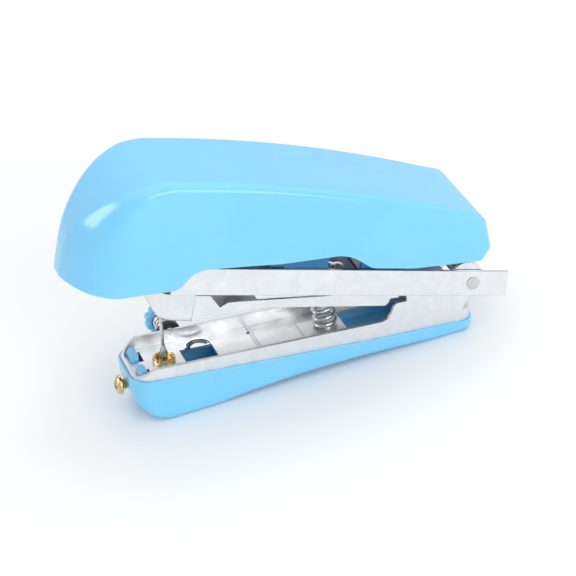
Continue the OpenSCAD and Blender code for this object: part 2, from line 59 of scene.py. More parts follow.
# The pan and the base cover round it
NOSE_LEN, PAN_REAR, PAN_HALF, LIP = 9.2, 73.5, 8.7, 0.6
NOSE_R, REAR_R = 4.6, 2.6
HEEL_R, REAR_ROUND = 9, 2.8
HEEL_END, ARCH_END, ARCH_H = 8.4, 62, 1.3
LIP_FRONT_Z, LIP_REAR_Z, LIP_REAR_X = 0.5, -0.75, 48
POST_X, POST_Y, HEAD_SINK, RECESS_R = 68.4, 4, 1.1, 1.9
TAB_Y, TAB_HALF, TAB_FRONT, TAB_BACK, TAB_TOP = 4.25, 2.1, 1.9 - NOSE_LEN, 3.8 - NOSE_LEN, 2.1
# The top cover, in the arm's frame
COVER_HALF, COVER_NOSE, ROOF_H = 14.6, 98.5, 25.6
NOSE_LONG, NOSE_HIGH, COVER_CORNER = 23.1, 22.8, 12.6
ROOF_R, ROOF_X = 310.0, 67.0
WEB_TOP, FRONT_BOSS_X, REAR_BOSS_X = 3.05, 51, 12
COVER_EDGE = [
    (-12, 8.5), (1, 8.2), (17.7, 6), (28.4, 5.9), (31, 7.3), (33.5, 8.5), (36.5, 8.9), (50.5, 6.7),
    (64.2, 5.6), (68.9, 5.1), (71.1, 4.1), (72.4, 2.5), (73.3, 0.7), (75.1, -0.2), (81.1, -1.1),
    (88.5, -2.4), (100, -2.4),
]
# The spool spindle with its knob, the set screw and the rivet
SPINDLE_X, SPINDLE_Z = 4.0, 1.6
KNOB_R, KNOB_Y0, KNOB_Y1, KNOB_LOBES = 3.8, 15.7, 18.7, 10
SCREW_START, SCREW_Z, SCREW_SHANK, SCREW_TOP = -0.87, -3.7, 9.83, 11.33
PIVOT_X, PIVOT_Z = 73.5, 9.2
# The toe of the presser, in the arm's frame
TOE_LOW, TOE_TOP, TOE_REAR, TOE_R = -11.2, -4.2, 67.45, 3.6
TOE_HOLE_X, TOE_HOLE_R, TOE_WALL = 72.9, 1.6, 0.7


def at(x=0.0, y=0.0, z=0.0):
    """A move by millimetres."""
    return Matrix.Translation((x * MM, y * MM, z * MM))


# ---- frames ---------------------------------------------------------------
# Deck: the pan floor is z = 0 and the needle is the z axis. Arm: the pivot is the origin, x runs forward.
JOINTS = {j["name"]: j for j in frame["joints"]}
PIVOT = Vector(JOINTS["arm_hinge"]["pos_m"])
TILT = math.radians(DECK_TILT)
DECK = at(z=DECK_H) @ Matrix.Rotation(TILT, 4, "Y")
ARM_TURN = Matrix.Rotation(math.radians(DECK_TILT + ARM_OPEN), 4, "Y")
ARM = Matrix.Translation(PIVOT) @ ARM_TURN @ Matrix.Scale(-1, 4, (1, 0, 0))
ALONG_Y = Matrix.Rotation(math.radians(-90), 4, "X")


def link(obj):
    scene.collection.objects.link(obj)
    return obj


# ---- materials ----------------------------------------------------------
class Nodes:
    """Short calls for building a node material."""

    def __init__(self, name):
        self.mat = bpy.data.materials.new(name)
        self.mat.use_nodes = True
        self.tree = self.mat.node_tree
        self.tree.nodes.clear()
        self.out = self.add("ShaderNodeOutputMaterial")
        self.bsdf = self.add("ShaderNodeBsdfPrincipled")
        self.link(self.bsdf.outputs[0], self.out.inputs["Surface"])
        self.coord = self.add("ShaderNodeTexCoord")

    def add(self, kind, **props):
        node = self.tree.nodes.new(kind)
        for key, value in props.items():
            setattr(node, key, value)
        return node

    def link(self, a, b):
        self.tree.links.new(a, b)

    def set(self, **values):
        for key, value in values.items():
            self.bsdf.inputs[key.replace("_", " ")].default_value = value

    def mapped(self, scale):
        m = self.add("ShaderNodeMapping")
        m.inputs["Scale"].default_value = scale
        self.link(self.coord.outputs["Object"], m.inputs["Vector"])
        return m.outputs["Vector"]

    def noise(self, scale, detail=4.0, rough=0.55, vector=None, distortion=0.0):
        n = self.add("ShaderNodeTexNoise")
        n.inputs["Scale"].default_value = scale
        n.inputs["Detail"].default_value = detail
        n.inputs["Roughness"].default_value = rough
        n.inputs["Distortion"].default_value = distortion
        self.link(vector if vector is not None else self.coord.outputs["Object"], n.inputs["Vector"])
        return n.outputs["Fac"]

    def ramp(self, fac, stops):
        r = self.add("ShaderNodeValToRGB")
        e = r.color_ramp.elements
        while len(e) < len(stops):
            e.new(0.5)
        for i, (pos, col) in enumerate(stops):
            e[i].position = pos
            e[i].color = col if len(col) == 4 else (*col, 1)
        self.link(fac, r.inputs["Fac"])
        return r.outputs["Color"]

    def range(self, fac, lo, hi, from_lo=0.3, from_hi=0.7):
        m = self.add("ShaderNodeMapRange")
        m.inputs["From Min"].default_value = from_lo
        m.inputs["From Max"].default_value = from_hi
        m.inputs["To Min"].default_value = lo
        m.inputs["To Max"].default_value = hi
        self.link(fac, m.inputs["Value"])
        return m.outputs["Result"]

    def mix(self, fac, a, b):
        m = self.add("ShaderNodeMix", data_type="RGBA")
        for socket, value in ((m.inputs[0], fac), (m.inputs[6], a), (m.inputs[7], b)):
            if isinstance(value, bpy.types.NodeSocket):
                self.link(value, socket)
            else:
                socket.default_value = value if isinstance(value, float) else (*value, 1)
        return m.outputs[2]

    def math(self, op, a, b=0.5):
        m = self.add("ShaderNodeMath", operation=op)
        for socket, value in zip(m.inputs, (a, b)):
            if isinstance(value, bpy.types.NodeSocket):
                self.link(value, socket)
            else:
                socket.default_value = value
        return m.outputs[0]

    def bump(self, height, strength, distance, normal=None):
        b = self.add("ShaderNodeBump")
        b.inputs["Strength"].default_value = strength
        b.inputs["Distance"].default_value = distance
        self.link(height, b.inputs["Height"])
        if normal is not None:
            self.link(normal, b.inputs["Normal"])
        self.link(b.outputs["Normal"], self.bsdf.inputs["Normal"])
        return b.outputs["Normal"]

    def edges(self, lo, hi):
        """White on sharp edges, from the surface's pointiness."""
        g = self.add("ShaderNodeNewGeometry")
        return self.range(g.outputs["Pointiness"], 0.0, 1.0, lo, hi)


def blue_plastic(name="blue_plastic", pale=(0.205, 0.625, 0.955), light=(0.225, 0.655, 0.985),
                 worn=(0.45, 0.80, 1.0)):
    n = Nodes(name)
    cloud = n.noise(60, 3, 0.5)
    base = n.mix(n.range(cloud, 0.0, 1.0), pale, light)
    wear = n.math("MULTIPLY", n.edges(0.53, 0.6), n.range(n.noise(900, 5), 0.0, 0.35))
    n.link(n.mix(wear, base, worn), n.bsdf.inputs["Base Color"])
    n.link(n.range(n.noise(240, 6, 0.6), 0.17, 0.24), n.bsdf.inputs["Roughness"])
    n.set(IOR=1.46, Coat_Weight=0.35, Coat_Roughness=0.05)
    n.set(Subsurface_Weight=0.25, Subsurface_Scale=0.001, Subsurface_Radius=(0.15, 0.6, 1.2))
    peel = n.bump(n.noise(420, 2, 0.5), 0.05, 0.00002)
    n.bump(n.noise(5200, 2, 0.5), 0.04, 0.000004, peel)
    return n.mat


def cut_edges(n, radius):
    """White where the surface turns within the radius of a sharp edge."""
    soft = n.add("ShaderNodeBevel", samples=6)
    soft.inputs["Radius"].default_value = radius
    true = n.add("ShaderNodeNewGeometry")
    dot = n.add("ShaderNodeVectorMath", operation="DOT_PRODUCT")
    n.link(soft.outputs["Normal"], dot.inputs[0])
    n.link(true.outputs["Normal"], dot.inputs[1])
    return n.range(dot.outputs["Value"], 1.0, 0.0, 0.82, 0.985)


def zinc_plate(name="zinc_plate", polish=0.0):
    """Bright zinc over rolled sheet: a cloudy bloom with fine rolling lines, and dull cut edges."""
    n = Nodes(name)
    bloom = n.noise(330, 7, 0.62, distortion=0.6)
    patch = n.noise(1500, 4, 0.6)
    cloud = n.math("ADD", n.math("MULTIPLY", bloom, 0.7), n.math("MULTIPLY", patch, 0.3))
    lines = n.noise(1.0, 3, 0.6, vector=n.mapped((260, 2600, 9000)))
    greys = [(0.34, (0.755, 0.77, 0.78)), (0.52, (0.80, 0.812, 0.822)), (0.66, (0.85, 0.857, 0.864))]
    base = n.ramp(cloud, greys)
    worn = n.mix(n.math("MULTIPLY", cut_edges(n, 0.00022), 0.75), base, (0.30, 0.29, 0.29))
    n.link(worn, n.bsdf.inputs["Base Color"])
    rough = n.math("ADD", n.range(cloud, 0.44 - polish, 0.30 - polish), n.range(lines, -0.04, 0.04))
    n.link(rough, n.bsdf.inputs["Roughness"])
    n.set(Metallic=0.88, Anisotropic=0.3)
    grain = n.bump(cloud, 0.07, 0.00003)
    n.bump(lines, 0.2, 0.000012, grain)
    return n.mat


def bright_steel():
    n = Nodes("bright_steel")
    base = n.ramp(n.noise(900, 4), [(0.35, (0.52, 0.52, 0.53)), (0.65, (0.70, 0.70, 0.70))])
    n.link(n.mix(n.edges(0.54, 0.62), base, (0.85, 0.85, 0.84)), n.bsdf.inputs["Base Color"])
    n.link(n.range(n.noise(1800, 5), 0.16, 0.34), n.bsdf.inputs["Roughness"])
    n.set(Metallic=1.0)
    n.bump(n.noise(1.0, 3, 0.6, vector=n.mapped((2500, 2500, 14000))), 0.15, 0.00001)
    return n.mat


def spring_wire():
    n = Nodes("spring_wire")
    base = n.ramp(n.noise(1300, 4), [(0.35, (0.62, 0.63, 0.64)), (0.65, (0.80, 0.81, 0.81))])
    n.link(base, n.bsdf.inputs["Base Color"])
    n.link(n.range(n.noise(2200, 4), 0.10, 0.24), n.bsdf.inputs["Roughness"])
    n.set(Metallic=1.0)
    n.bump(n.noise(4200, 3), 0.15, 0.000008)
    return n.mat


def brass():
    n = Nodes("brass")
    tarnish = n.noise(1100, 5, 0.65)
    yellows = [(0.32, (0.42, 0.27, 0.10)), (0.5, (0.72, 0.52, 0.24)), (0.68, (0.86, 0.68, 0.40))]
    base = n.ramp(tarnish, yellows)
    n.link(n.mix(n.edges(0.54, 0.62), base, (0.93, 0.80, 0.56)), n.bsdf.inputs["Base Color"])
    n.link(n.range(n.noise(1500, 5), 0.16, 0.36), n.bsdf.inputs["Roughness"])
    n.set(Metallic=1.0)
    n.bump(n.noise(1.0, 3, 0.6, vector=n.mapped((3000, 3000, 12000))), 0.25, 0.00002)
    return n.mat


def black_rubber():
    n = Nodes("black_rubber")
    base = n.ramp(n.noise(1500, 4), [(0.3, (0.018, 0.018, 0.02)), (0.7, (0.05, 0.05, 0.055))])
    n.link(base, n.bsdf.inputs["Base Color"])
    n.link(n.range(n.noise(2500, 4), 0.5, 0.75), n.bsdf.inputs["Roughness"])
    n.bump(n.noise(6000, 3), 0.3, 0.00001)
    return n.mat


MATS = {
    "blue_plastic": blue_plastic(),
    "plated_steel": zinc_plate(),
    "bright_steel": bright_steel(),
    "spring_wire": spring_wire(),
    "brass": brass(),
    "black_rubber": black_rubber(),
}
# Painted shade: the top cover's inner side and the ribs get a darker, more saturated copy of the blue plastic,
# standing in for the shade inside the covers
PAINTED_SHADE_BLUE = blue_plastic("blue_plastic_painted_shade", (0.004, 0.17, 0.40), (0.006, 0.19, 0.44), (0.02, 0.24, 0.50))
TOE_STEEL = zinc_plate("zinc_plate_smooth", 0.18)


# ---- mesh helpers ---------------------------------------------------------
def mesh_piece(name, verts, faces, body, slot, matrix, smooth=True, nodes=()):
    """A mesh in mm placed by a frame matrix, riding on a body, with normals made to agree."""
    mesh = bpy.data.meshes.new(name)
    bm = bmesh.new()
    made = [bm.verts.new(Vector(v) * MM) for v in verts]
    for f in faces:
        try:
            bm.faces.new([made[i] for i in f])
        except ValueError:
            pass
    bmesh.ops.remove_doubles(bm, verts=bm.verts, dist=2e-6)
    bmesh.ops.transform(bm, matrix=matrix, verts=bm.verts)
    bmesh.ops.recalc_face_normals(bm, faces=bm.faces)
    bm.to_mesh(mesh)
    bm.free()
    for p in mesh.polygons:
        p.use_smooth = smooth
    obj = link(bpy.data.objects.new(name, mesh))
    mesh.materials.append(MATS[slot])
    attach(obj, body)
    if nodes:
        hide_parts(*nodes)
    return obj


def round_edges(obj, width, segments=3, angle=40):
    b = obj.modifiers.new("edges", "BEVEL")
    b.width = width * MM
    b.segments = segments
    b.limit_method = "ANGLE"
    b.angle_limit = math.radians(angle)
    return obj


def dress_cad_nodes():
    """Materials for the CAD's own nodes, and rounded edges for all but the coils."""
    slot_of = {s["node"]: s["material_slot"] for s in frame["record"]["subparts"]}
    widths = {"lower_frame": 0.18, "upper_arm": 0.15, "presser_frame": 0.15}
    coils = ("main_spring", "tension_spring", "presser_spring")
    for name, obj in frame["nodes"].items():
        obj.data.materials.clear()
        obj.data.materials.append(MATS[slot_of[name]])
        if name not in coils:
            round_edges(obj, widths.get(name, 0.12), 3, 38)
    # The ribs get the darker blue of painted shade
    frame["nodes"]["cover_ribs"].data.materials[0] = PAINTED_SHADE_BLUE


def loft(rings, capped=False):
    """Vertices and faces that join equal rings of points in turn."""
    n = len(rings[0])
    verts = [tuple(p) for r in rings for p in r]
    faces = []
    for i in range(len(rings) - 1):
        for k in range(n):
            m = (k + 1) % n
            faces.append((i * n + k, i * n + m, (i + 1) * n + m, (i + 1) * n + k))
    if capped:
        faces.append(tuple(range(n)))
        faces.append(tuple((len(rings) - 1) * n + k for k in range(n)))
    return verts, faces


def round_max(a, b, r):
    """Distance to the overlap of two shapes, with their shared edge rounded to radius r."""
    return np.minimum(np.maximum(a, b), -r) + np.hypot(np.maximum(a + r, 0), np.maximum(b + r, 0))


def side_share(past, out):
    """How much a rounded corner faces sideways: 1 along the sides, falling to 0 where it faces the end."""
    out = np.maximum(out, 0)
    return np.where(past > 0, out / np.maximum(np.hypot(past, out), 1e-6), 1.0)


def ray_hit(field, start, direction):
    """Distance along each ray to the field's zero, by bisection. start and direction are (n, 3)."""
    reach = 90.0
    lo = np.zeros(len(start))
    hi = np.full(len(start), reach)
    for _ in range(40):
        mid = (lo + hi) / 2
        inside = field(start + direction * mid[:, None]) < 0
        lo, hi = np.where(inside, mid, lo), np.where(inside, hi, mid)
    return lo


def shell_columns(field, starts, headings, edge_z, rows, down, fine_edge, fine_bend):
    """Columns of points on a field's surface. Each runs from the open edge to the middle line.
    starts are points inside, headings the horizontal unit vectors. A shell with down set closes downwards."""
    columns = []
    sign = -1.0 if down else 1.0
    steep, level, fine = -75, -30, 0.2
    theta = np.radians(np.concatenate([np.linspace(steep, level, 120), np.linspace(level + fine, 90, 500)]))
    for start, heading in zip(starts, headings):
        d = np.stack([np.cos(theta) * heading[0], np.cos(theta) * heading[1], sign * np.sin(theta)], 1)
        s = np.repeat(np.array(start)[None], len(theta), 0)
        p = s + d * ray_hit(field, s, d)[:, None]
        gap = sign * (p[:, 2] - edge_z(p[:, 0]))
        i = max(np.argmax(gap > 0), 1)
        t = gap[i - 1] / (gap[i - 1] - gap[i])
        first = p[i - 1] + (p[i] - p[i - 1]) * t
        curve = np.vstack([first, p[i:]])
        step = np.linalg.norm(np.diff(curve, axis=0), axis=1)
        along = np.concatenate([[0], np.cumsum(step)])
        tangent = np.diff(curve, axis=0) / np.maximum(step, 1e-9)[:, None]
        turn = np.concatenate([[0], np.arccos(np.clip((tangent[1:] * tangent[:-1]).sum(1), -1, 1)), [0]])
        weight = np.concatenate([[0], step * (0.5 + fine_edge * np.exp(-along[1:] / 1.5))]) + fine_bend * turn
        share = np.cumsum(weight)
        spots = np.interp(np.linspace(0, share[-1], rows), share, along)
        columns.append(np.stack([np.interp(spots, along, curve[:, k]) for k in range(3)], 1))
    return columns


def fan(centre, angles):
    return [centre] * len(angles), [(math.cos(a), math.sin(a)) for a in angles]


def outline_columns(x_rear, x_front, z, spacing, rear_angles, front_angles):
    """Starts and headings once round a long shape: near side, nose, far side and rear."""
    xs = np.arange(x_rear, x_front, spacing)
    starts, heads = [], []
    for x in xs:
        starts.append((x, 0, z(x)))
        heads.append((0, -1))
    a, b = fan((x_front, 0, z(x_front)), front_angles)
    starts += a
    heads += b
    for x in xs[::-1]:
        starts.append((x, 0, z(x)))
        heads.append((0, 1))
    a, b = fan((x_rear, 0, z(x_rear)), rear_angles)
    starts += a
    heads += b
    return starts, heads


def double_shell(name, outer, inner, body, slot, matrix, nodes):
    """A thin shell from matching outer and inner columns, closed by a rim along the open edge."""
    rings_out = [[c[i] for c in outer] for i in range(len(outer[0]))]
    rings_in = [[c[i] for c in inner] for i in range(len(inner[0]))]
    verts, faces = loft(rings_in[::-1] + rings_out)
    return mesh_piece(name, verts, faces, body, slot, matrix, nodes=nodes)


# ---- top cover ------------------------------------------------------------
EDGE_STEP, EDGE_SOFT, EDGE_REACH = 0.1, 0.55, 20
edge_x = np.arange(COVER_EDGE[0][0], COVER_EDGE[-1][0], EDGE_STEP)
edge_raw = np.interp(edge_x, *np.array(COVER_EDGE, float).T)
kernel = np.exp(-0.5 * (np.arange(-EDGE_REACH, EDGE_REACH + 1) * EDGE_STEP / EDGE_SOFT) ** 2)
edge_smooth = np.convolve(np.pad(edge_raw, EDGE_REACH, "edge"), kernel / kernel.sum(), "valid")


def cover_edge_z(x):
    return np.interp(x, edge_x, edge_smooth)


def nose_distance(x, z):
    """Distance to the quarter ellipse that ends the roof, with a flat front below it."""
    nx, nz = COVER_NOSE - NOSE_LONG, ROOF_H - NOSE_HIGH
    u, v = np.maximum(x - nx, 0) / NOSE_LONG, np.maximum(z - nz, 0) / NOSE_HIGH
    reach = np.hypot(u, v)
    slope = np.maximum(np.hypot(u / NOSE_LONG, v / NOSE_HIGH), 1e-9)
    return np.where(z < nz, x - COVER_NOSE, (reach - 1) * reach / slope)


def cover_field(inset):
    """Distance outside the cover's block, moved inwards by inset."""
    corner_x, corner_z = -0.5, 11.3
    rear_normal, chamfer_normal = (-0.931, 0.366), (-0.900, -0.4355)
    rear_round, chamfer_round = 0.9, 0.5
    # Radius of the rounding between roof and sides, along the cover
    fillet_x, fillet_r = [2, 9, 60, 84, 96], [1.0, 2.2, 2.5, 2.6, 8.0]

    def field(p):
        x, y, z = p[:, 0], np.abs(p[:, 1]), p[:, 2]
        roof = np.hypot(x - ROOF_X, z - ROOF_H + ROOF_R) - ROOF_R
        top = np.where(x > COVER_NOSE - NOSE_LONG, np.maximum(roof, nose_distance(x, z)), roof)
        rear = rear_normal[0] * (x - corner_x) + rear_normal[1] * (z - corner_z)
        chamfer = chamfer_normal[0] * (x - corner_x) + chamfer_normal[1] * (z - corner_z)
        profile = round_max(round_max(top, rear, rear_round), chamfer, chamfer_round)
        cx, cy = COVER_NOSE - COVER_CORNER, COVER_HALF - COVER_CORNER
        corner = np.hypot(np.maximum(x - cx, 0), np.maximum(y - cy, 0)) - COVER_CORNER
        plan = np.where((x > cx) & (y > cy), corner, np.maximum(y - COVER_HALF, x - COVER_NOSE))
        fillet = np.interp(x, fillet_x, fillet_r) * side_share(x - cx, y - cy)
        return round_max(profile, plan, fillet) + inset

    return field


def spread_angles(lo, hi, n, field, centre):
    """n angles from lo to hi, closer together where the outline bends."""
    a = np.radians(np.linspace(lo, hi, 400))
    s = np.repeat(np.array(centre, float)[None], 400, 0)
    d = np.stack([np.cos(a), np.sin(a), 0 * a], 1)
    p = s + d * ray_hit(field, s, d)[:, None]
    step = np.diff(p, axis=0)
    length = np.linalg.norm(step, axis=1)
    tangent = step / length[:, None]
    turn = np.concatenate([[0], np.arccos(np.clip((tangent[1:] * tangent[:-1]).sum(1), -1, 1))])
    share = np.concatenate([[0], np.cumsum(length + 4.0 * turn)])
    return np.interp(np.linspace(0, share[-1], n), share, a)


def make_top_cover():
    outer_field, inner_field = cover_field(0), cover_field(WALL)
    rear_x, front_x, z0 = 12, 84, 12.0
    front = spread_angles(-90, 90, 90, outer_field, (front_x, 0, z0))
    rear = spread_angles(90, 270, 90, outer_field, (rear_x, 0, z0))[1:-1]
    starts, heads = outline_columns(rear_x, front_x, lambda x: z0, 0.55, rear, front)
    outer = shell_columns(outer_field, starts, heads, cover_edge_z, 64, False, 2.0, 5.0)
    inner = shell_columns(inner_field, starts, heads, cover_edge_z, 24, False, 0.5, 2.0)
    # A shallow step in the side walls follows the edge over the arch
    step_depth, step_h, step_soft = 0.16, 2.3, 0.35
    for c in outer:
        rise = c[:, 2] - cover_edge_z(c[:, 0])
        local = np.interp(c[:, 0], [26, 31, 56, 63], [0, 1, 1, 0])
        depth = step_depth * local * np.clip((step_h - rise) / step_soft, 0, 1)
        c[:, 1] -= np.sign(c[:, 1]) * np.where(np.abs(c[:, 1]) > COVER_HALF - 0.5, depth, 0)
    obj = double_shell("top_cover_shell", outer, inner, "arm", "blue_plastic", ARM, ["top_cover"])
    # The inner faces get the darker blue of painted shade
    obj.data.materials.append(PAINTED_SHADE_BLUE)
    inner_faces = (len(inner[0]) - 1) * len(inner)
    for p in obj.data.polygons[:inner_faces]:
        p.material_index = 1
    return round_edges(obj, 0.25, 3, 50)


# ---- base cover -----------------------------------------------------------
def table_z(x):
    """Height in the deck's frame of the table under deck position x."""
    return (x * math.sin(TILT) - DECK_H) / math.cos(TILT)


def base_lip_z(x):
    return np.interp(x, [-NOSE_LEN - LIP, LIP_REAR_X], [LIP_FRONT_Z, LIP_REAR_Z])


def base_side(x, z):
    """Distance outside the base's side outline: rounded heel and rear, and an arch between them."""
    heel_x = -NOSE_LEN - LIP + HEEL_R
    heel_z = (HEEL_R - DECK_H + heel_x * math.sin(TILT)) / math.cos(TILT)
    rear_x = PAN_REAR + LIP - REAR_ROUND
    rear_z = table_z(rear_x) + REAR_ROUND
    front, rear = -NOSE_LEN - LIP - x, x - PAN_REAR - LIP
    bottom = (table_z(x) - z) * math.cos(TILT)
    profile = np.maximum(np.maximum(front, rear), bottom)
    heel = np.hypot(x - heel_x, z - heel_z) - HEEL_R
    profile = np.where((x < heel_x) & (z < heel_z), heel, profile)
    rounded = np.hypot(x - rear_x, z - rear_z) - REAR_ROUND
    profile = np.where((x > rear_x) & (z < rear_z), rounded, profile)
    world_x = x * math.cos(TILT) + z * math.sin(TILT)
    world_z = DECK_H - x * math.sin(TILT) + z * math.cos(TILT)
    span = ARCH_END - HEEL_END
    arch_r = (span * span / 4 + ARCH_H * ARCH_H) / (2 * ARCH_H)
    arch = arch_r - np.hypot(world_x - HEEL_END - span / 2, world_z - ARCH_H + arch_r)
    return round_max(profile, arch, 0.3)


def base_field(inset, ledge=False):
    """Distance outside the base's block, moved inwards by inset. The ledge leaves the pan's place free."""
    ledge_z, lip_thick, bottom_round = -0.85, 0.53, 1.6
    half = PAN_HALF + LIP
    front_x, front_r = -NOSE_LEN + NOSE_R, NOSE_R + LIP
    rear_x, rear_r = PAN_REAR - REAR_R, REAR_R + LIP

    def field(p):
        x, y, z = p[:, 0], np.abs(p[:, 1]), p[:, 2]
        front_y, rear_y = half - front_r, half - rear_r
        plan = np.maximum(y - half, np.maximum(-NOSE_LEN - LIP - x, x - PAN_REAR - LIP))
        at_front = (x < front_x) & (y > front_y)
        at_rear = (x > rear_x) & (y > rear_y)
        plan = np.where(at_front, np.hypot(x - front_x, y - front_y) - front_r, plan)
        plan = np.where(at_rear, np.hypot(x - rear_x, y - rear_y) - rear_r, plan)
        thick = np.where(z > ledge_z, min(inset, lip_thick), inset) if ledge else inset
        share = side_share(front_x - x, y - front_y) * side_share(x - rear_x, y - rear_y)
        return round_max(base_side(x, z), plan, bottom_round * share) + thick

    return field


def screw_recess(y):
    """A cutter for the recess round a base screw's head."""
    turn = [2 * math.pi * k / 48 for k in range(48)]
    low, top = table_z(POST_X) - 2, table_z(POST_X) + HEAD_SINK
    circle = [(POST_X + RECESS_R * math.cos(a), y + RECESS_R * math.sin(a)) for a in turn]
    rings = [[(x, y, z) for x, y in circle] for z in (low, top)]
    return cutter(*loft(rings, capped=True), DECK)


def make_base_cover():
    outer_field, inner_field = base_field(0), base_field(WALL, True)
    front_x, rear_x, z0 = -3, 67, -1.7
    front = spread_angles(90, 270, 80, outer_field, (front_x, 0, z0))
    rear = spread_angles(-90, 90, 60, outer_field, (rear_x, 0, z0))[1:-1]
    xs = np.arange(front_x, rear_x, 0.8)
    line = [(x, 0, z0) for x in xs]
    starts = line + [(rear_x, 0, z0)] * len(rear) + line[::-1] + [(front_x, 0, z0)] * len(front)
    heads = [(0, -1)] * len(xs) + [(math.cos(a), math.sin(a)) for a in rear]
    heads += [(0, 1)] * len(xs) + [(math.cos(a), math.sin(a)) for a in front]
    outer = shell_columns(outer_field, starts, heads, base_lip_z, 44, True, 1.2, 5.0)
    inner = shell_columns(inner_field, starts, heads, base_lip_z, 30, True, 2.0, 3.0)
    obj = double_shell("base_cover_shell", outer, inner, "base", "blue_plastic", DECK, ["base_cover"])
    crisp(cut_away(obj, screw_recess(-POST_Y), screw_recess(POST_Y)), 50)
    return round_edges(obj, 0.12, 2, 50)


# ---- more mesh helpers ------------------------------------------------------
def lathe(name, profile, body, slot, matrix, nodes=(), steps=64):
    """A turned piece about z from (radius, height) points, closed on itself or on the axis at both ends."""
    turn = [2 * math.pi * k / steps for k in range(steps)]
    rings = [[(r * math.cos(a), r * math.sin(a), z) for a in turn] for r, z in profile]
    on_axis = profile[0][0] == 0
    verts, faces = loft(rings if on_axis else rings + rings[:1])
    obj = mesh_piece(name, verts, faces, body, slot, matrix, nodes=nodes)
    return crisp(obj)


def crisp(obj, angle=35):
    """Smooth shading that stays sharp over edges steeper than the angle."""
    bm = bmesh.new()
    bm.from_mesh(obj.data)
    limit = math.radians(angle)
    for e in bm.edges:
        e.smooth = not (len(e.link_faces) == 2 and e.calc_face_angle(0) > limit)
    bm.to_mesh(obj.data)
    bm.free()
    return obj


def cut_away(obj, *cutters):
    """Take the cutters out of a piece, and keep the result as its mesh."""
    for c in cutters:
        m = obj.modifiers.new("cut", "BOOLEAN")
        m.object = c
        m.operation = "DIFFERENCE"
        m.solver = "EXACT"
    bpy.context.view_layer.update()
    baked = bpy.data.meshes.new_from_object(obj.evaluated_get(bpy.context.evaluated_depsgraph_get()))
    obj.modifiers.clear()
    obj.data = baked
    for c in cutters:
        bpy.data.objects.remove(c)
    return obj


def cutter(verts, faces, matrix):
    """A plain closed mesh in mm that only serves to cut another."""
    mesh = bpy.data.meshes.new("cutter")
    mesh.from_pydata([tuple(matrix @ (Vector(v) * MM)) for v in verts], [], faces)
    bm = bmesh.new()
    bm.from_mesh(mesh)
    bmesh.ops.recalc_face_normals(bm, faces=bm.faces)
    bm.to_mesh(mesh)
    bm.free()
    return link(bpy.data.objects.new("cutter", mesh))


def box_mesh(lo, hi):
    verts = [(x, y, z) for x in (lo[0], hi[0]) for y in (lo[1], hi[1]) for z in (lo[2], hi[2])]
    return verts, [(0, 1, 3, 2), (4, 6, 7, 5), (0, 4, 5, 1), (2, 3, 7, 6), (0, 2, 6, 4), (1, 5, 7, 3)]


def slab_piece(name, outline, y0, y1, body, slot, matrix):
    """A flat outline in x and z with thickness along y and rounded edges."""
    verts, faces = loft([[(x, y, z) for x, z in outline] for y in (y0, y1)], capped=True)
    return round_edges(mesh_piece(name, verts, faces, body, slot, matrix, smooth=False), 0.15)


def coil_spring(name, r, wire, low, high, turns, body, matrix, nodes):
    """A compression spring about z with closed, ground ends."""
    steps, sides, closed = 28, 12, 1.0
    pitch_end = 2.04 * wire
    middle = (high - low - 2 * wire * 0.6 - 2 * closed * pitch_end) / (turns - 2 * closed)
    rings = []
    for i in range(int(turns * steps) + 1):
        t = i / steps
        lower, upper = min(t, closed), max(t - turns + closed, 0)
        z = low + 0.6 * wire + pitch_end * (lower + upper) + middle * (t - lower - upper)
        a = 2 * math.pi * t
        ring = []
        for k in range(sides):
            b = 2 * math.pi * k / sides
            d = r + wire * math.cos(b)
            ring.append((d * math.cos(a), d * math.sin(a), min(max(z + wire * math.sin(b), low), high)))
        rings.append(ring)
    verts, faces = loft(rings, capped=True)
    return mesh_piece(name, verts, faces, body, "spring_wire", matrix, nodes=nodes)


dress_cad_nodes()
make_top_cover()
make_base_cover()


# ---- plastic details --------------------------------------------------------
def snap_tab(name, y):
    """A hook that comes up through the pan's slot: a sloping nose, a crowned top and a square back."""
    hook, root = TAB_FRONT - 0.3, -5.5
    outline = [
        (TAB_FRONT, root), (TAB_FRONT, 0.05), (hook, 0.05), (hook, 1.0), (TAB_FRONT + 0.4, TAB_TOP),
        (TAB_BACK - 0.5, TAB_TOP), (TAB_BACK, TAB_TOP - 0.5), (TAB_BACK, root),
    ]
    rings = [[(x, y + s * TAB_HALF * (1.0 if z < 1 else 0.8), z) for x, z in outline] for s in (-1, 1)]
    verts, faces = loft(rings, capped=True)
    tab = mesh_piece(name, verts, faces, "base", "blue_plastic", DECK, smooth=False)
    return round_edges(tab, 0.25, 3, 25)


def roof_z(x):
    return ROOF_H - ROOF_R + math.sqrt(ROOF_R**2 - (x - ROOF_X) ** 2)


def cover_post(name, x):
    """A screw post under the roof, flared where it meets it."""
    bore, post_r, flare_r = 1.1, 2.4, 3.6
    top = roof_z(x) - WALL * 0.5
    profile = [
        (bore, WEB_TOP), (post_r - 0.2, WEB_TOP), (post_r, WEB_TOP + 0.25), (post_r, top - 2.5),
        (2.8, top - 1.2), (flare_r, top - WALL * 0.5), (flare_r, top), (bore, top),
    ]
    return lathe(name, profile, "arm", "blue_plastic", ARM @ at(x), steps=40)


def base_post(name, y):
    """A screw post that rises from the base cover's floor to the pan."""
    bore, low, top = 1.05, table_z(POST_X) + HEAD_SINK, -0.8
    profile = [(bore, low), (2.6, low), (2.1, low + 0.9), (2.0, top - 0.2), (1.8, top), (bore, top)]
    return lathe(name, profile, "base", "blue_plastic", DECK @ at(POST_X, y), steps=40)


KNOB_STEPS = 120


def lobed_ring(y, grow):
    """Once round the knob's lobes at one depth, grown by a small amount."""
    dent = 0.6
    points = []
    for k in range(KNOB_STEPS):
        a = 2 * math.pi * k / KNOB_STEPS
        dip = (0.5 - 0.5 * math.cos(KNOB_LOBES * a + math.pi)) ** 2.5
        d = KNOB_R - dent * dip + grow
        points.append((d * math.cos(a), y, d * math.sin(a)))
    return points


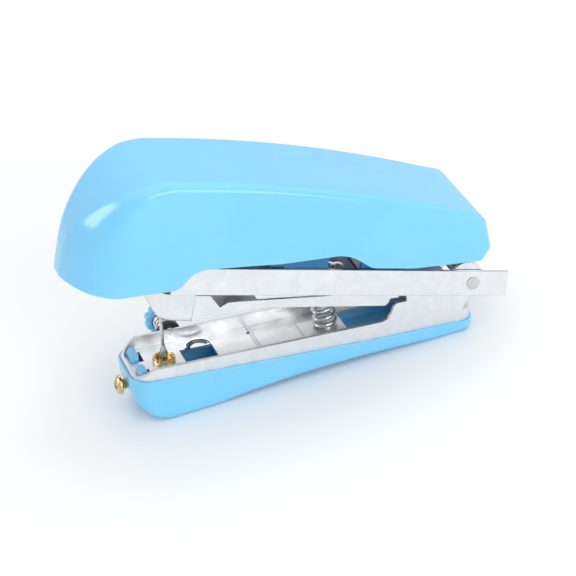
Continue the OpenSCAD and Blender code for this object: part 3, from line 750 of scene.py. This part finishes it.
def plain_ring(y, r):
    turn = [2 * math.pi * k / KNOB_STEPS for k in range(KNOB_STEPS)]
    return [(r * math.cos(a), y, r * math.sin(a)) for a in turn]


def make_knob():
    """The tension knob: ten soft lobes, rounded rims, a dished face and a recess for its spring."""
    y0, y1 = KNOB_Y0, KNOB_Y1
    dish, bore, recess = 0.35, 1.05, 2.5
    lobed = [(y0, -0.5), (y0 + 0.15, -0.16), (y0 + 0.45, 0), (y1 - 0.5, 0), (y1 - 0.15, -0.18), (y1, -0.6)]
    plain = [
        (y1, 2.6), (y1 - dish, 2.3), (y1 - dish, 1.3), (y1 - dish - 0.1, bore), (y0 + 1, bore),
        (y0 + 1, recess), (y0, recess),
    ]
    rings = [lobed_ring(y, grow) for y, grow in lobed] + [plain_ring(y, r) for y, r in plain]
    verts, faces = loft(rings + rings[:1])
    place = DECK @ at(SPINDLE_X, 0, SPINDLE_Z)
    knob = mesh_piece(
        "tension_knob_lobed", verts, faces, "tension_knob", "blue_plastic", place, nodes=["tension_knob"],
    )
    return crisp(knob, 50)


snap_tab("snap_tab_near", -TAB_Y)
snap_tab("snap_tab_far", TAB_Y)
cover_post("cover_post_front", FRONT_BOSS_X)
cover_post("cover_post_rear", REAR_BOSS_X)
base_post("base_post_near", -POST_Y)
base_post("base_post_far", POST_Y)
make_knob()

# ---- springs --------------------------------------------------------------
SPRING_X, SPRING_LOW, SPRING_HIGH = 39.62, 7.455, 22.855
main_spring = coil_spring(
    "return_spring", 2.5, 0.5, SPRING_LOW, SPRING_HIGH, 8, "base", at(SPRING_X), ["main_spring"],
)
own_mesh(main_spring)

PRESS_X, PRESS_LOW, PRESS_HIGH = 56, -7.3, 2.15
PRESS_SPRING = ARM @ at(PRESS_X)
press_spring = coil_spring(
    "presser_return_spring", 1.9, 0.35, PRESS_LOW, PRESS_HIGH, 6, "arm", PRESS_SPRING, ["presser_spring"],
)
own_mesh(press_spring)

SPINDLE = DECK @ at(SPINDLE_X, 0, SPINDLE_Z) @ ALONG_Y
coil_spring("tension_coil", 2, 0.3, 10.52, 16.1, 5, "base", SPINDLE, ["tension_spring"])


# ---- turned pieces ----------------------------------------------------------
def make_set_screw():
    """The brass set screw: a threaded shank and a domed head with a cross recess."""
    shank, top = SCREW_SHANK, SCREW_TOP
    thread_r, depth, first, pitch = 1.25, 0.13, 7.4, 0.17
    thread = [(thread_r - depth * (k % 2), first + pitch * k) for k in range(14)]
    tip = [(0, 0), (1.0, 0), (1.25, 0.25)]
    head = [
        (1.22, shank), (2.15, shank), (2.35, shank + 0.15), (2.35, shank + 0.5), (2.22, shank + 0.82),
        (1.85, shank + 1.12), (1.3, shank + 1.34), (0.7, top - 0.05), (0, top),
    ]
    place = DECK @ at(SCREW_START, 0, SCREW_Z) @ Matrix.Rotation(math.radians(-90), 4, "Y")
    screw = lathe("set_screw_turned", tip + thread + head, "base", "brass", place, ["needle_set_screw"])
    slot_long, slot_half, slot_low = 1.3, 0.27, shank + 0.75
    cross = []
    for half_x, half_y in ((slot_long, slot_half), (slot_half, slot_long)):
        bar = box_mesh((-half_x, -half_y, slot_low), (half_x, half_y, top + 1))
        cross.append(cutter(*bar, place))
    return crisp(cut_away(screw, *cross))


def make_rivet():
    """The pivot pin, with a low dome peened over at each end."""
    half = [(1.25, 9.72), (1.55, 9.72), (1.62, 9.80), (1.55, 9.93), (1.25, 10.02), (0.7, 10.05), (0, 10.05)]
    profile = [(r, -z) for r, z in half[::-1]] + half
    place = DECK @ at(PIVOT_X, 0, PIVOT_Z) @ ALONG_Y
    return lathe("pivot_rivet", profile, "base", "bright_steel", place, ["pivot_pin"])


def make_needle():
    """A short machine needle: round shank, long taper, slim blade with its eye, and a fine point."""
    shank_r, blade_r, taper_z, taper_len = 0.87, 0.42, 2.4, 2.4
    eye_r, eye_h, eye_z = 0.17, 0.34, 10.4
    steps = [k / 10 for k in range(11)]
    taper = [(shank_r - 0.45 * (t * t * (3 - 2 * t)), taper_z + taper_len * t) for t in steps]
    shank = [(0, -6.4), (0.75, -6.4), (shank_r, -6.2)]
    point = [(blade_r, 10.9), (0.36, 11.4), (0.24, 11.9), (0.1, 12.35), (0, 12.5)]
    needle = lathe("needle_turned", shank + taper + point, "base", "bright_steel", DECK, ["needle"], steps=32)
    eye = [(eye_r * math.cos(a), eye_h * math.sin(a)) for a in [math.pi * k / 10 for k in range(20)]]
    rings = [[(x, y, eye_z + z) for x, z in eye] for y in (-1, 1)]
    return crisp(cut_away(needle, cutter(*loft(rings, capped=True), DECK)))


def make_collet():
    """The collet ring: a plain neck, a rounded rim with four slots, and a cup round the needle."""
    bore, neck_r, cup_r, cup_z = 0.9, 2.4, 1.8, 0.3
    profile = [
        (bore, -7.2), (neck_r, -7.2), (neck_r, 0.02), (2.6, 0.02), (2.7, 0.15), (2.7, 1.1), (2.6, 1.35),
        (2.35, 1.48), (2.1, 1.42), (1.9, 1.2), (cup_r, 0.9), (cup_r, cup_z), (bore, cup_z),
    ]
    ring = lathe("collet_turned", profile, "base", "brass", DECK, ["needle_collet"])
    slot_half, slot_z = 0.42, 0.8
    cutters = []
    for turn in (45, 135):
        bar = box_mesh((-4, -slot_half, slot_z), (4, slot_half, 3))
        cutters.append(cutter(*bar, DECK @ Matrix.Rotation(math.radians(turn), 4, "Z")))
    screw_hole = box_mesh((-4, -1.25, -5), (0, 1.25, -2.4))
    cutters.append(cutter(*screw_hole, DECK))
    return crisp(cut_away(ring, *cutters))


make_set_screw()
make_rivet()
make_needle()
make_collet()


# ---- presser toe ------------------------------------------------------------
def toe_ring(z, inset, front, half, rear):
    """Once round the toe's plan at one height, from the near rear corner forward."""
    r, h, f = max(TOE_R - inset, 0.3), half - inset, front - inset
    pts = [(rear, -h)] + [(x, -h) for x in np.linspace(rear + 1, f - r - 0.5, 6)]
    pts += [(f - r + r * math.sin(a), -(h - r) - r * math.cos(a)) for a in np.linspace(0, math.pi / 2, 10)]
    pts += [(x, -y) for x, y in pts[::-1]]
    return [(x, y, z) for x, y in pts]


def make_toe():
    """The presser's toe: rounded under, upright, then flared to its top, open above and behind."""
    low, top = TOE_LOW, TOE_TOP
    # Height, inset of the rounding, front and half width, from the sole upwards
    outside = [
        (low, 0.6, 75.2, 7.7), (low + 0.08, 0.35, 75.2, 7.7), (low + 0.25, 0.12, 75.22, 7.7),
        (low + 0.5, 0, 75.3, 7.7), (low + 1.3, 0, 75.4, 7.7), (-8.6, 0, 75.75, 7.7), (-8.0, 0, 75.9, 7.72),
        (-7.2, 0, 76.1, 7.82), (-5.6, 0, 76.45, 7.98), (top, 0, 76.6, 8.1),
    ]
    inside = [
        (low + TOE_WALL, 1.6, 75.2, 7.7), (low + 1.0, 1.0, 75.3, 7.7), (low + 1.6, TOE_WALL, 75.5, 7.7),
        (-8.0, TOE_WALL, 75.9, 7.7), (-5.6, TOE_WALL, 76.45, 7.98), (top + 1, TOE_WALL, 76.7, 8.2),
    ]
    block = loft([toe_ring(z, i, f, h, TOE_REAR) for z, i, f, h in outside], capped=True)
    room = loft([toe_ring(z, i, f, h, TOE_REAR - 2) for z, i, f, h in inside], capped=True)
    turn = [math.pi * k / 20 for k in range(40)]
    circle = [(TOE_HOLE_X + TOE_HOLE_R * math.cos(t), TOE_HOLE_R * math.sin(t)) for t in turn]
    hole = loft([[(x, y, z) for x, y in circle] for z in (-13, -9)], capped=True)
    toe = mesh_piece("presser_toe", *block, "presser", "plated_steel", ARM, nodes=["presser_foot"])
    toe = cut_away(toe, cutter(*room, ARM), cutter(*hole, ARM))
    toe.data.materials.clear()
    toe.data.materials.append(TOE_STEEL)
    crisp(toe, 40)
    tongue = [(62, -9.3), (67.4, -10.5), (69.4, -10.6), (69.4, -10.3), (67.4, -9.8), (62, -8.6)]
    slab_piece("toe_tongue", tongue, -5, 5, "presser", "plated_steel", ARM)


make_toe()

# ---- floor, light and camera ------------------------------------------------
FLOOR_HALF, FLOOR_DROP = 2, 0.00002
floor_mesh = bpy.data.meshes.new("floor")
corners = [(x * FLOOR_HALF, y * FLOOR_HALF, 0) for x, y in ((-1, -1), (1, -1), (1, 1), (-1, 1))]
floor_mesh.from_pydata(corners, [], [(0, 1, 2, 3)])
floor = link(bpy.data.objects.new("floor", floor_mesh))
floor.location = (0, 0, -FLOOR_DROP)
paint = Nodes("pale_floor")
whites = [(0.3, (0.95, 0.95, 0.95)), (0.7, (0.97, 0.97, 0.97))]
paint.link(paint.ramp(paint.noise(8, 2), whites), paint.bsdf.inputs["Base Color"])
paint.set(Roughness=0.6)
floor_mesh.materials.append(paint.mat)

world = bpy.data.worlds.new("studio")
scene.world = world
world.use_nodes = True
sky = world.node_tree.nodes["Background"]
sky.inputs["Color"].default_value = (0.97, 0.985, 1.0, 1)
sky.inputs["Strength"].default_value = 0.70


def softbox(name, place, target, size, power, size_y=None):
    data = bpy.data.lights.new(name, "AREA")
    data.shape = "RECTANGLE"
    data.size = size
    data.size_y = size_y or size
    data.energy = power
    lamp = link(bpy.data.objects.new(name, data))
    lamp.location = place
    lamp.rotation_euler = (Vector(target) - Vector(place)).to_track_quat("-Z", "Y").to_euler()
    return lamp


CENTRE, NOSE_TOP = (0.03, 0, 0.03), (-0.0093, -0.0095, 0.0571)
softbox("top", (0.18, 0.12, 0.9), CENTRE, 1.5, 5.0)
softbox("front", (0.24, -0.77, 0.42), CENTRE, 0.7, 2.3, 0.32)
# A small window that shows only as a reflection on the nose
nose_window = softbox("nose_window", (-0.50, 0.152, 0.362), NOSE_TOP, 0.26, 1.2, 0.32)
nose_window.visible_diffuse = False

# The photo's camera, found by fitting its view to the photo
CAM_PLACE, CAM_LENS = (-0.0904204, -0.5070877, 0.3198216), 161.25
CAM_AZ, CAM_EL, CAM_ROLL = math.radians(13.5838), math.radians(29.9028), math.radians(-9.5748)
cam_data = bpy.data.cameras.new("camera")
cam_data.sensor_width = 36
cam_data.lens = CAM_LENS
cam_data.clip_start = 0.02
cam_data.clip_end = 20
camera = link(bpy.data.objects.new("camera", cam_data))
look = Vector((math.sin(CAM_AZ) * math.cos(CAM_EL), math.cos(CAM_AZ) * math.cos(CAM_EL), -math.sin(CAM_EL)))
right = Vector((math.cos(CAM_AZ), -math.sin(CAM_AZ), 0))
up = right.cross(look)
side = right * math.cos(CAM_ROLL) + up * math.sin(CAM_ROLL)
head = -right * math.sin(CAM_ROLL) + up * math.cos(CAM_ROLL)
axes = Matrix((side, head, -look)).transposed().to_4x4()
camera.matrix_world = Matrix.Translation(CAM_PLACE) @ axes
scene.camera = camera
scene.view_settings.view_transform = "Standard"
